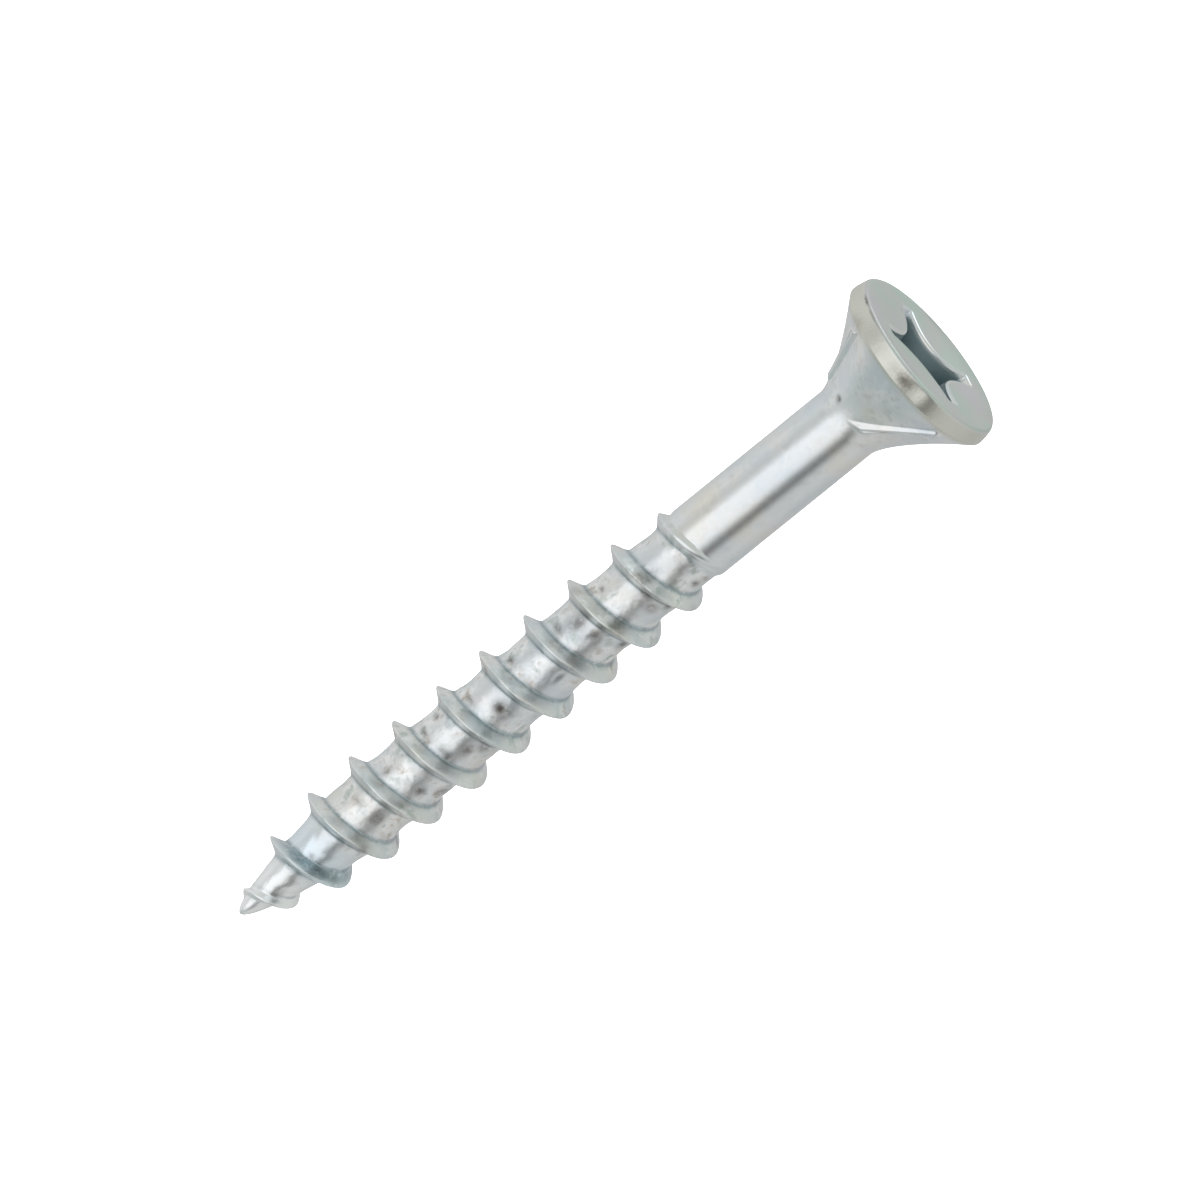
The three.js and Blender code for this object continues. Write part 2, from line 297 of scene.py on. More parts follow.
def buildHead():
    # Rings from the shank up the flare, over the rim, in across the top and down the recess
    columns = head["columns"]
    angle = np.arange(columns) / columns * 2 * math.pi
    rimBottom = faceHeight - head["rimDepth"]
    # side: flare r = shank + (rim - shank) * part^exponent, then the land and its round edge
    part = np.linspace(0, 1, head["flareRows"])
    flare = np.stack([
        shankRadius + (rimRadius - shankRadius) * part ** head["flareExponent"],
        headLow.z + (rimBottom - headLow.z) * part,
    ], -1)
    edge = [(outermost - inwards, faceHeight - down)
            for outermost, corners in ((rimRadius, head["rimCorners"]),
                                       (head["faceRadius"], head["faceCorners"]))
            for inwards, down in corners]
    side = softPath(np.concatenate([flare, edge]), head["sideRows"], head["edgeSoftness"])
    side[0] = flare[0]
    radius, height = side[:, 0][:, None], side[:, 1][:, None]
    x, y = radius * np.cos(angle), radius * np.sin(angle)
    slope = unit(np.gradient(side, axis=0))
    onFlare = smoothStep(-height, -rimBottom, -rimBottom + head["flareEase"])
    start = smoothStep(height, headLow.z, headLow.z + head["jointEase"])
    rimTopLow, rimTopHigh = (faceHeight - below for below in head["rimTop"])
    onRim = smoothStep(height, rimBottom - head["rimEase"], rimBottom) * (
        1 - smoothStep(height, rimTopLow, rimTopHigh))
    depth, stainAndShade = dented(head["dents"], angle, height, radius)
    lift = ribLift(x, y) * (onFlare > 0) - depth * start * np.maximum(onFlare, onRim)
    lift += head["waviness"] * start * onFlare * ripple(
        3, angle, height, rounds=6, waveLength=2.2 * mm)
    lift += head["rimWaviness"] * onRim * ripple(
        4, angle, height, rounds=14, waveLength=3 * mm)
    outward = slope[:, 1][:, None] * lift
    sideGrid = np.stack([x + outward * np.cos(angle), y + outward * np.sin(angle),
                         height - slope[:, 0][:, None] * lift], -1)
    # top: straight lines from the edge in to the lip of the recess, over the shallow dish
    top = recessOutline(0.0)
    tangent = unit(np.roll(top, -1, axis=0) - np.roll(top, 1, axis=0))
    away = np.stack([tangent[:, 1], -tangent[:, 0]], -1)
    lip = head["lipRadius"]
    outer = sideGrid[-1, :, :2]
    flatParts = np.linspace(0, 1, head["topRows"])[1:, None, None]
    flatXY = outer * (1 - flatParts) + (top + away * lip) * flatParts
    flatGrid = np.concatenate([flatXY, (faceHeight + dishAt(flatXY))[..., None]], -1)
    # lip: a quarter round
    turn = np.linspace(0, math.pi / 2, head["lipRows"])[1:, None, None]
    lipXY = top + away * lip * (1 - np.sin(turn))
    lipZ = faceHeight + dishAt(lipXY)[..., None] - lip * (1 - np.cos(turn))
    lipGrid = np.concatenate([lipXY, lipZ], -1)
    # walls: the outline drawn in with depth, then the floor, which runs in to the middle
    rows = [sideGrid, flatGrid, lipGrid]
    for depth in np.linspace(lip, head["recessDepth"], head["wallRows"])[1:]:
        outline = recessOutline(depth - lip)
        sunk = dishAt(top) * (1 - depth / head["recessDepth"])
        rows.append(np.column_stack([outline, faceHeight - depth + sunk])[None])
    deepest = rows[-1][0]
    floor = np.linspace(0, 1, head["floorRows"])[1:-1, None, None]
    shrink = 1 - floor
    fall = np.sin(floor * math.pi / 2) * (head["recessBottom"] - head["recessDepth"])
    floorXY = deepest[:, :2] * shrink
    rows.append(np.concatenate([floorXY, np.broadcast_to(
        deepest[0, 2] - fall, floorXY.shape[:2] + (1,))], -1))
    grid = np.concatenate(rows)
    normals = gridNormals(grid)
    rowCount = len(grid)
    points = np.concatenate([grid.reshape(-1, 3), [
        (0, 0, faceHeight - head["recessBottom"]), (0, 0, headLow.z)]])
    normals = np.concatenate([normals.reshape(-1, 3), [(0, 0, 1), (0, 0, -1)]])
    body = ringFaces(rowCount, columns)
    last = np.arange(columns) + (rowCount - 1) * columns
    pit = fanFaces(rowCount * columns, last, True)
    cap = fanFaces(rowCount * columns + 1, np.arange(columns), False)
    flatLow, flatHigh = (faceHeight - below for below in head["flatTop"])
    topStart, topEnd = len(sideGrid), len(sideGrid) + len(flatGrid)

    def zone(onSide, onTop):
        # A mask for every point: the side's values, the top's, 0 in the recess
        values = np.zeros(grid.shape[:2])
        values[:topStart] = onSide
        values[topStart:topEnd] = onTop
        return np.append(values.ravel(), [0, 0])

    # painted shade in the recess, deepening below the lip
    recessShading = smoothStep(faceHeight - grid[..., 2], *head["recessShade"])
    recessShading[:topEnd] = 0
    masks = {"flatZone": zone(smoothStep(height, flatLow, flatHigh), 1),
             "rimZone": zone(onRim, 0),
             "recessZone": np.append(recessShading.ravel(), [1, 0]),
             "stainAndShade": zone(stainAndShade, 0),
             "rolledZone": zone(head["flareMottle"] * onFlare + head["rimMottle"] * onRim,
                                head["topMottle"])}
    return meshPiece("head_visual", points, np.concatenate([body, pit, cap]), normals,
                     len(cap), masks)


# The plain shank
shank = {
    "columns": 256,
    "rows": 110,
    "waviness": 0.0022 * mm,
    "endEase": 0.8 * mm,
    "stainShare": 0.4,
    "mottle": 0.14,
    "dents": scatteredDents(41, 26, -11.0 * mm, -5.2 * mm, (0.12 * mm, 0.35 * mm),
                            (0.001 * mm, 0.005 * mm), 0.3),
}


def buildShank():
    # A cylinder, r = shank radius + waviness * ripple - dents, calm at both ends
    columns, rows = shank["columns"], shank["rows"]
    angle = np.arange(columns) / columns * 2 * math.pi
    height = np.linspace(shankLow.z, shankHigh.z, rows)[:, None]
    calm = (smoothStep(height, shankLow.z, shankLow.z + shank["endEase"])
            * (1 - smoothStep(height, shankHigh.z - shank["endEase"], shankHigh.z)))
    depth, stainAndShade = dented(shank["dents"], angle, height, shankRadius)
    radius = shankRadius + calm * (
        shank["waviness"] * ripple(5, angle, height, rounds=4, waveLength=5 * mm) - depth)
    grid = np.stack([radius * np.cos(angle), radius * np.sin(angle),
                     np.broadcast_to(height, radius.shape)], -1)
    normals = gridNormals(grid).reshape(-1, 3)
    points = np.concatenate([grid.reshape(-1, 3), [
        (0, 0, shankLow.z), (0, 0, shankHigh.z)]])
    normals = np.concatenate([normals, [(0, 0, -1), (0, 0, 1)]])
    count = rows * columns
    body = ringFaces(rows, columns)
    low = fanFaces(count, np.arange(columns), False)
    high = fanFaces(count + 1, np.arange(columns) + count - columns, True)
    masks = {"stainAndShade": np.append((shank["stainShare"] * stainAndShade * calm).ravel(), [0, 0]),
             "rolledZone": np.full(count + 2, shank["mottle"])}
    return meshPiece("shank_visual", points, np.concatenate([body, low, high]), normals,
                     len(low) + len(high), masks)


# Thread and point
thread = {
    "columns": 240,
    "stations": 36,  # profile points to each pitch
    "crowding": 0.72,  # how far they gather at the crest
    "pitch": 2.41 * mm,
    "height": 0.69 * mm,
    "crestHalfWidth": 0.085 * mm,
    "baseHalfWidth": 0.46 * mm,
    "hollow": 1.25,  # 1 gives straight flanks, more gives hollow ones
    "skirtHalfWidth": 1.10 * mm,  # a low fillet spreads from the foot of the ridge
    "skirtHeight": 0.085 * mm,
    "crestAtTip": 1.064 * mm,  # height above the tip where the crest crosses +X
    "start": 0.45 * mm,
    "full": 3.6 * mm,
    "firstHeight": 0.3,
    "fadeStart": 21.0 * mm,
    "fadeEnd": 26.3 * mm,
    "fadePower": 3.2,
    "shoulderTop": 25.4 * mm,  # the shank tapers down to the core
    "shoulderBottom": 24.8 * mm,  # between these two heights above the tip
    "pointLength": pointHigh.z - pointLow.z,
    "pointExponent": 0.55,
    "coreRadius": 1.50 * mm,
    "crestWobble": 0.026 * mm,
    "crestDrift": 0.028 * mm,
    "rootWobble": 0.018 * mm,
    "fineWobble": 0.004 * mm,
    "ridgeCalm": 0.7,  # the roots' wobble is this much less on the crest
    "slimLeast": 0.15,  # the ridge narrows with the core, but never below this share
    "growFrom": 0.1 * mm,
    "calmRise": (0.2 * mm, 2 * mm),
    "shoulderBlend": 0.01 * mm,
    "tipFlat": 0.02 * mm,
    "planeGap": 0.004 * mm,  # rows nearer than this to an end plane are gathered onto it
    # strength, place across the ridge and width of the two lines of painted shade at its foot
    "footLines": ((0.8, 0.42 * mm, 0.07 * mm), (0.6, -0.40 * mm, 0.09 * mm)),
    # the same for the band of painted shade on the point, then its height and spread
    "pointShadeBand": (0.8, 0.26 * mm, 0.16 * mm, 4.1 * mm, 0.75 * mm),
    "ridgeMottle": 0.35,  # the crest is this much less mottled
    "mottleRise": (4.5 * mm, 7 * mm),
    # heights over which the tip's painted highlight fades out
    "tipRise": (2.0 * mm, 3.8 * mm),
    "blueRise": (4.4 * mm, 1.1 * mm),  # middle and spread
    # placed marks, with heights above the tip, then scattered ones; the darkening of the placed
    # marks at bearings 57 to 75 is painted shade, that of the rest is stain
    "dents": [
        (49, 14.73 * mm, 0.34 * mm, 0.28 * mm, 0.050 * mm, 1.0),
        (356, 16.27 * mm, 0.26 * mm, 0.15 * mm, 0.045 * mm, 0.8),
        (4, 18.76 * mm, 0.32 * mm, 0.16 * mm, 0.050 * mm, 0.7),
        (359, 21.22 * mm, 0.20 * mm, 0.14 * mm, 0.035 * mm, 0.7),
        (102, 20.33 * mm, 0.28 * mm, 0.24 * mm, 0.045 * mm, 0.8),
        (96, 22.94 * mm, 0.30 * mm, 0.16 * mm, 0.045 * mm, 0.8),
        (99, 24.40 * mm, 0.26 * mm, 0.18 * mm, 0.045 * mm, 0.8),
        # the marks at bearings 57 to 75 paint shade in patches into the dark line under the
        # roots' highlight
        (69, 17.50 * mm, 0.12 * mm, 0.32 * mm, 0.040 * mm, 0.5),
        (57, 22.70 * mm, 0.22 * mm, 0.16 * mm, 0.030 * mm, 0.4),
        (60, 20.90 * mm, 0.20 * mm, 0.30 * mm, 0.025 * mm, 0.3),
        (63, 18.60 * mm, 0.26 * mm, 0.34 * mm, 0.030 * mm, 0.35),
        (67, 12.47 * mm, 0.26 * mm, 0.36 * mm, 0.030 * mm, 0.6),
        (57, 11.72 * mm, 0.16 * mm, 0.18 * mm, 0.030 * mm, 0.8),
        (71, 9.80 * mm, 0.26 * mm, 0.24 * mm, 0.035 * mm, 0.8),
        (62, 7.67 * mm, 0.24 * mm, 0.34 * mm, 0.035 * mm, 0.8),
        (22, 7.45 * mm, 0.30 * mm, 0.14 * mm, 0.030 * mm, 0.5),
        (75, 6.37 * mm, 0.22 * mm, 0.24 * mm, 0.020 * mm, 0.6),
        (11, 9.18 * mm, 0.14 * mm, 0.20 * mm, 0.030 * mm, 0.6),
        (359, 11.44 * mm, 0.38 * mm, 0.13 * mm, 0.035 * mm, 0.7),
        (347, 12.23 * mm, 0.22 * mm, 0.15 * mm, 0.035 * mm, 0.7),
        (3, 13.90 * mm, 0.34 * mm, 0.11 * mm, 0.035 * mm, 0.6),
    ] + scatteredDents(42, 110, 1.5 * mm, 25.0 * mm, (0.12 * mm, 0.38 * mm),
                       (0.006 * mm, 0.030 * mm), 0.4),
}


def rolledRadius(angle, rise):
    # core = coreRadius * (rise / pointLength)^exponent on the point, then level; ridge =
    # height * growth * ((base - x) / (base - crest))^hollow, where x is the softened distance
    # along the axis from the nearest turn of the crest, on a low skirt (1 + cos) / 2; the
    # plain shank takes over where it stands higher
    t = thread
    core = t["coreRadius"] * np.clip(rise / t["pointLength"], 1e-6, 1) ** t["pointExponent"]
    drift = t["crestDrift"] * ripple(14, angle, rise, rounds=4, waveLength=2.6 * mm)
    away = (rise + drift - t["crestAtTip"]) / t["pitch"] - angle / (2 * math.pi)
    away = (away - np.round(away)) * t["pitch"]
    slim = np.minimum(1, core / t["coreRadius"] + t["slimLeast"])
    crest, base = t["crestHalfWidth"], t["baseHalfWidth"] * slim
    soft = np.sqrt(away ** 2 + crest ** 2)
    section = np.clip((base - soft) / (base - crest), 0, 1) ** t["hollow"]
    skirt = 0.5 + 0.5 * np.cos(math.pi * np.clip(away / (t["skirtHalfWidth"] * slim), -1, 1))
    grow = t["firstHeight"] + (1 - t["firstHeight"]) * smoothStep(rise, t["start"], t["full"])
    grow = grow * smoothStep(rise, t["growFrom"], t["start"] * 2)
    faded = np.clip((rise - t["fadeStart"]) / (t["fadeEnd"] - t["fadeStart"]), 0, 1)
    grow = np.minimum(grow, 1 - faded ** t["fadePower"])
    calm = smoothStep(rise, *t["calmRise"]) * (
        1 - smoothStep(rise, t["shoulderBottom"], t["shoulderTop"]))
    wobble = 1 + calm * t["crestWobble"] / t["height"] * ripple(
        11, angle, rise, rounds=5, waveLength=1.7 * mm)
    ridge = grow * ((t["height"] - t["skirtHeight"]) * section * wobble
                    + t["skirtHeight"] * skirt)
    roots = (t["rootWobble"] * ripple(12, angle, rise, rounds=7, waveLength=1.3 * mm)
             + t["fineWobble"] * ripple(13, angle, rise, rounds=24, waveLength=0.5 * mm,
                                        count=14))
    depth, _ = dented(t["dents"], angle, rise, core)
    rolled = core + ridge + calm * (roots * (1 - t["ridgeCalm"] * section) - depth)
    share = smoothStep(rise, t["shoulderBottom"], t["shoulderTop"])
    short = t["coreRadius"] + (shankRadius - t["coreRadius"]) * share - rolled
    return rolled + share * 0.5 * (short + np.sqrt(short ** 2 + t["shoulderBlend"] ** 2))


def ridgeShare(angle, rise):
    # 1 on the crest, falling straight to 0 in the roots; and the painted shade at the foot: a
    # narrow bell exp(-x^2) each side where the ridge meets the core, and a broad one, exp(-x^2
    # - y^2), on the flank of the point's first full turn
    away = (rise - thread["crestAtTip"]) / thread["pitch"] - angle / (2 * math.pi)
    away = (away - np.round(away)) * thread["pitch"]
    onRidge = np.clip(1 - np.abs(away) / thread["baseHalfWidth"], 0, 1)
    footLine = sum(strength * np.exp(-((away - place) / wide) ** 2)
                   for strength, place, wide in thread["footLines"])
    strength, place, wide, middle, spread = thread["pointShadeBand"]
    pointShadeBand = strength * np.exp(-((away - place) / wide) ** 2
                                  - ((rise - middle) / spread) ** 2)
    return onRidge, np.maximum(footLine, pointShadeBand)


def rolledGrid(low, high):
    # Rows follow the helix, so each keeps its place on the thread's profile; what would
    # pass the two end planes is gathered onto them
    t = thread
    columns, stations, pitch = t["columns"], t["stations"], t["pitch"]
    share = np.arange(stations) / stations - 0.5
    spread = share - t["crowding"] * np.sin(2 * math.pi * share) / (2 * math.pi)
    firstTurn = math.floor((low - t["crestAtTip"]) / pitch) - 2
    lastTurn = math.ceil((high - t["crestAtTip"]) / pitch) + 2
    turns = np.arange(firstTurn, lastTurn)[:, None] + spread
    base = t["crestAtTip"] + turns.ravel() * pitch
    angle = np.arange(columns) / columns * 2 * math.pi
    rise = base[:, None] + pitch * angle / (2 * math.pi)
    inside = (rise > low + t["planeGap"]) & (rise < high - t["planeGap"])
    first = np.argmax(inside, axis=0) - 1
    last = len(base) - np.argmax(inside[::-1], axis=0)
    rise = np.clip(rise, low, high)
    rowNumber = np.clip(np.arange(len(base))[:, None], first, last)
    rise = np.take_along_axis(rise, rowNumber, 0)
    ids = rowNumber * columns + np.arange(columns)
    # the last column meets the first one turn further up
    rightIds = np.concatenate([ids[:-stations, 1:], ids[stations:, :1]], 1)
    leftIds = ids[:-stations]
    a, b, c, d = leftIds[:-1], rightIds[:-1], rightIds[1:], leftIds[1:]
    lower = np.stack([a, b, c], -1).reshape(-1, 3)
    upper = np.stack([a, c, d], -1).reshape(-1, 3)
    lower = lower[lower[:, 1] != lower[:, 2]]
    upper = upper[upper[:, 0] != upper[:, 2]]
    rings = [first * columns + np.arange(columns), last * columns + np.arange(columns)]
    return np.broadcast_to(angle, rise.shape), rise, np.concatenate([lower, upper]), rings


def buildRolled(name, bottom, topHeight, pointed):
    # The surface r = rolledRadius(angle, rise) between two planes, closed by flat ends; its
    # normals are (cos + s sin, sin - s cos, -dr/dz), where s is dr/dangle over r
    low, high = bottom - tipHeight, topHeight - tipHeight
    if pointed:
        low = thread["tipFlat"]
    angle, rise, body, (lowRing, highRing) = rolledGrid(low, high)
    radius = rolledRadius(angle, rise)
    step = 1e-3
    roundSlope = (rolledRadius(angle + step, rise) - rolledRadius(angle - step, rise)) / (
        2 * step * radius)
    lift = 0.004 * mm
    upSlope = (rolledRadius(angle, rise + lift) - rolledRadius(angle, rise - lift)) / (2 * lift)
    normals = unit(np.stack([np.cos(angle) + roundSlope * np.sin(angle),
                             np.sin(angle) - roundSlope * np.cos(angle), -upSlope], -1))
    points = np.stack([radius * np.cos(angle), radius * np.sin(angle), rise + tipHeight], -1)
    count = radius.size
    points = np.concatenate([points.reshape(-1, 3), [(0, 0, bottom), (0, 0, topHeight)]])
    normals = np.concatenate([normals.reshape(-1, 3), [(0, 0, -1), (0, 0, 1)]])
    lowCap = fanFaces(count, lowRing, False)
    highCap = fanFaces(count + 1, highRing, True)
    flatCount = len(highCap) if pointed else len(lowCap) + len(highCap)
    _, stainAndShade = dented(thread["dents"], angle, rise, thread["coreRadius"])
    ridge, foot = ridgeShare(angle, rise)
    calm = 1 - smoothStep(rise, thread["shoulderBottom"], thread["shoulderTop"])
    mottle = calm * (1 - thread["ridgeMottle"] * ridge) + (1 - calm) * shank["mottle"]
    mottle = mottle * (0.5 + 0.5 * smoothStep(rise, *thread["mottleRise"]))
    # painted highlight: the plate is lighter towards the tip
    bright = 1 - smoothStep(rise, *thread["tipRise"])
    grown = smoothStep(rise, thread["start"], thread["full"])
    blueMiddle, blueSpread = thread["blueRise"]
    blue = np.exp(-((rise - blueMiddle) / blueSpread) ** 2)
    masks = {"stainAndShade": np.append((stainAndShade * calm).ravel(), [0, 0]),
             # painted shade along the ridge's feet and on the point's first turn
             "footLine": np.append((foot * calm * grown).ravel(), [0, 0]),
             "blueZone": np.append(blue.ravel(), [0, 0]),
             "tipZone": np.append(bright.ravel(), [0, 0]),
             "rolledZone": np.append(mottle.ravel(), [0, 0])}
    return meshPiece(name, points, np.concatenate([body, lowCap, highCap]), normals,
                     flatCount, masks)


headPiece = buildHead()
print("head made:", len(headPiece.data.polygons), "triangles")
shankPiece = buildShank()
print("shank made:", len(shankPiece.data.polygons), "triangles")
threadPiece = buildRolled("threaded_section_visual", rolledLow.z, rolledHigh.z, False)
print("threaded section made:", len(threadPiece.data.polygons), "triangles")
pointPiece = buildRolled("point_visual", pointLow.z, pointHigh.z, True)
print("point made:", len(pointPiece.data.polygons), "triangles")


# Zinc plate
zinc = {
    "cool": (0.72, 0.77, 0.79, 1),
    "plain": (0.79, 0.81, 0.80, 1),
    "straw": (0.82, 0.80, 0.73, 1),
    "blue": (0.79, 0.875, 0.91, 1),
    "tip": (0.95, 0.965, 0.955, 1),
    "green": (0.50, 0.57, 0.52, 1),
    "brown": (0.55, 0.50, 0.43, 1),
    "light": (0.92, 0.935, 0.92, 1),
    "pale": (0.96, 0.96, 0.93, 1),
    "faceGreen": (0.60, 0.70, 0.635, 1),
    "faceGrey": (0.655, 0.685, 0.65, 1),
    "faceMauve": (0.67, 0.665, 0.665, 1),
    "rim": (0.70, 0.70, 0.62, 1),
    "foot": (0.22, 0.31, 0.35, 1),
    "stainAndShade": (0.10, 0.085, 0.07, 1),
    "recess": (0.36, 0.45, 0.47, 1),
    "roughness": (0.13, 0.27),
    "rolledRoughness": 0.14,  # more than that where it was rolled
    "faceRoughness": 0.42,
    "recessRoughness": 0.7,
    "mottleShare": 0.9,
    "patchRange": (0.42, 0.62),  # where in its noise a patch of mottling starts and is full
    "blotchRange": (0.22, 0.50),  # the same for the stains
    "grainStrength": 0.14,
    "grainDepth": 0.01 * mm,
    "rolledBump": 0.45,
    "rolledDepth": 0.07 * mm,
}


def node(tree, kind, place, **settings):
    # A setting that names an input fills it; any other is the node's own
    made = tree.nodes.new(kind)
    made.location = place
    for key, value in settings.items():
        if key in made.inputs:
            made.inputs[key].default_value = value
        else:
            setattr(made, key, value)
    return made


def rampNode(tree, place, value, stops):
    # Colour stops as (position, colour), in rising order
    made = node(tree, "ShaderNodeValToRGB", place)
    ramp = made.color_ramp
    for position, _ in stops[2:]:
        ramp.elements.new(position)
    for stop, (position, _) in zip(ramp.elements, stops):
        stop.position = position
    for stop, (_, colour) in zip(ramp.elements, stops):
        stop.color = colour
    tree.links.new(value, made.inputs["Fac"])
    return made.outputs["Color"]


def rangeNode(tree, place, value, old=(0, 1), new=(0, 1)):
    # Straight line from the old range to the new one, held at both ends
    made = node(tree, "ShaderNodeMapRange", place, **{
        "From Min": old[0], "From Max": old[1], "To Min": new[0], "To Max": new[1]})
    tree.links.new(value, made.inputs["Value"])
    return made


def zincPlate():
    # Tint drifts between cool, plain and straw; where the metal was rolled it is mottled
    # green and brown as well. Stains sit in the marks, with painted shade in some placed ones.
    # Painted shade darkens the thread's feet and the recess, and a painted highlight lightens
    # the tip. Fine bump and roughness follow the grain
    material = bpy.data.materials.new("bright_zinc_plate")
    material.use_nodes = True
    tree = material.node_tree
    link = tree.links.new
    shader = tree.nodes["Principled BSDF"]
    shader.inputs["Metallic"].default_value = 1.0
    place = node(tree, "ShaderNodeTexCoord", (-2000, 0)).outputs["Object"]

    def noise(at, scale, detail, roughness):
        # Scale counts patches to the metre, roughly
        made = node(tree, "ShaderNodeTexNoise", at, Scale=scale, Detail=detail,
                    Roughness=roughness)
        link(place, made.inputs["Vector"])
        return made.outputs["Fac"]

    def mask(name, at):
        return node(tree, "ShaderNodeAttribute", at, attribute_name=name).outputs["Fac"]

    def math2(kind, at, first, second):
        made = node(tree, "ShaderNodeMath", at, operation=kind, use_clamp=True)
        for socket, value in zip(made.inputs, (first, second)):
            if isinstance(value, float):
                socket.default_value = value
            else:
                link(value, socket)
        return made.outputs["Value"]

    def mixed(at, share, first, second):
        made = node(tree, "ShaderNodeMixRGB", at)
        link(share, made.inputs["Fac"])
        for socket, value in zip(list(made.inputs)[1:], (first, second)):
            if isinstance(value, tuple):
                socket.default_value = value
            else:
                link(value, socket)
        return made.outputs["Color"]

    rolled = mask("rolledZone", (-1700, -300))
    drift = rampNode(
        tree, (-1400, 400), noise((-1700, 400), scale=420, detail=4, roughness=0.6),
        [(0.36, zinc["cool"]), (0.52, zinc["plain"]), (0.70, zinc["straw"])])
    mottle = rampNode(
        tree, (-1400, 150), noise((-1700, 150), scale=1500, detail=3, roughness=0.6),
        [(0.36, zinc["green"]), (0.47, zinc["light"]), (0.55, zinc["pale"]),
         (0.68, zinc["brown"])])
    patches = rangeNode(
        tree, (-1400, -100), noise((-1700, -100), scale=900, detail=4, roughness=0.65),
        old=zinc["patchRange"])
    share = math2("MULTIPLY", (-1150, -100), patches.outputs["Result"],
                  math2("MULTIPLY", (-1400, -300), rolled, zinc["mottleShare"]))
    colour = mixed((-900, 200), share, drift, mottle)
    colour = mixed((-780, 350), mask("blueZone", (-900, 500)), colour, zinc["blue"])
    # painted highlight lightens the tip
    colour = mixed((-740, 350), mask("tipZone", (-900, 900)), colour, zinc["tip"])
    topTint = rampNode(
        tree, (-1150, 600), noise((-1400, 600), scale=380, detail=3, roughness=0.5),
        [(0.40, zinc["faceGreen"]), (0.52, zinc["faceGrey"]), (0.64, zinc["faceMauve"])])
    colour = mixed((-700, 350), mask("flatZone", (-900, 650)), colour, topTint)
    colour = mixed((-620, 350), mask("rimZone", (-900, 800)), colour, zinc["rim"])
    blotch = rangeNode(
        tree, (-1150, -350), noise((-1400, -500), scale=3600, detail=4, roughness=0.7),
        old=zinc["blotchRange"])
    stainedAndShaded = math2("MULTIPLY", (-900, -350), mask("stainAndShade", (-1150, -550)),
                    blotch.outputs["Result"])
    footed = math2("MULTIPLY", (-900, -450), mask("footLine", (-1150, -650)),
                   blotch.outputs["Result"])
    # painted shade along the thread's feet
    colour = mixed((-520, 200), footed, colour, zinc["foot"])
    # stains, and the painted shade of some placed marks
    colour = mixed((-460, 200), stainedAndShaded, colour, zinc["stainAndShade"])
    # painted shade darkens the recess
    colour = mixed((-400, 200), mask("recessZone", (-650, -50)), colour, zinc["recess"])
    link(colour, shader.inputs["Base Color"])

    grain = noise((-1400, -800), scale=2600, detail=5, roughness=0.7)
    rough = rangeNode(tree, (-1150, -800), grain, new=zinc["roughness"])
    topRough = rangeNode(tree, (-900, -800), mask("flatZone", (-1150, -1000)),
                         new=(0, zinc["faceRoughness"]))
    rolledRough = node(tree, "ShaderNodeMath", (-1000, -900), operation="MULTIPLY_ADD")
    link(rolled, rolledRough.inputs[0])
    rolledRough.inputs[1].default_value = zinc["rolledRoughness"]
    link(rough.outputs["Result"], rolledRough.inputs[2])
    link(rolledRough.outputs["Value"], topRough.inputs["To Min"])
    deepRough = rangeNode(tree, (-700, -800), mask("recessZone", (-900, -1000)),
                          new=(0, zinc["recessRoughness"]))
    link(topRough.outputs["Result"], deepRough.inputs["To Min"])
    link(deepRough.outputs["Result"], shader.inputs["Roughness"])
    fine = node(tree, "ShaderNodeBump", (-400, -500), Strength=zinc["grainStrength"],
                Distance=zinc["grainDepth"])
    link(grain, fine.inputs["Height"])
    coarse = node(tree, "ShaderNodeBump", (-200, -500), Distance=zinc["rolledDepth"])
    link(noise((-650, -700), scale=1300, detail=3, roughness=0.6), coarse.inputs["Height"])
    link(math2("MULTIPLY", (-650, -900), rolled, zinc["rolledBump"]),
         coarse.inputs["Strength"])
    link(fine.outputs["Normal"], coarse.inputs["Normal"])
    link(coarse.outputs["Normal"], shader.inputs["Normal"])
    return material


plate = zincPlate()
for piece, nodeName in ((headPiece, "head"), (shankPiece, "shank"),
                        (threadPiece, "threaded_section"), (pointPiece, "point")):
    piece.data.materials.append(plate)
    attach(piece, "root")
    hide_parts(nodeName)
print("zinc plate on")


# Camera
camera = {
    "round": math.radians(41),  # direction of the camera from +X, round +Z
    "lift": math.radians(16.4),
    "lean": math.radians(39.0),  # angle of the screw above the picture's lower edge
    "aim": 0.5397,  # up the screw, from its tip
    "aside": -0.0183,  # past the axis, in screw lengths
    "width": 1.2945,  # width of the picture, in screw lengths
    "lens": 700,
    "sensor": 36,
    "near": 0.01,
    "far": 20,
}


def makeCamera():
    # The camera stands off by width * lens / sensor, rolled so that the screw lies at its lean
    c = camera
    toCamera = Vector((math.cos(c["round"]) * math.cos(c["lift"]),
                       math.sin(c["round"]) * math.cos(c["lift"]), math.sin(c["lift"])))
    alongScrew = (Vector((0, 0, 1)) - toCamera * toCamera.z).normalized()
    acrossScrew = Vector((0, 0, 1)).cross(toCamera).normalized()
    right = alongScrew * math.cos(c["lean"]) + acrossScrew * math.sin(c["lean"])
    up = alongScrew * math.sin(c["lean"]) - acrossScrew * math.cos(c["lean"])
    target = Vector((0, 0, tipHeight + c["aim"] * screwLength))
    target += acrossScrew * c["aside"] * screwLength
    distance = c["width"] * screwLength * c["lens"] / c["sensor"]
    data = bpy.data.cameras.new("camera")
    data.lens, data.sensor_width = c["lens"], c["sensor"]
    data.clip_start, data.clip_end = c["near"], c["far"]
    holder = bpy.data.objects.new("camera", data)
    bpy.context.scene.collection.objects.link(holder)
    turn = Matrix((right, up, toCamera)).transposed().to_4x4()
    holder.matrix_world = Matrix.Translation(target + toCamera * distance) @ turn
    bpy.context.scene.camera = holder


makeCamera()
print("camera set")


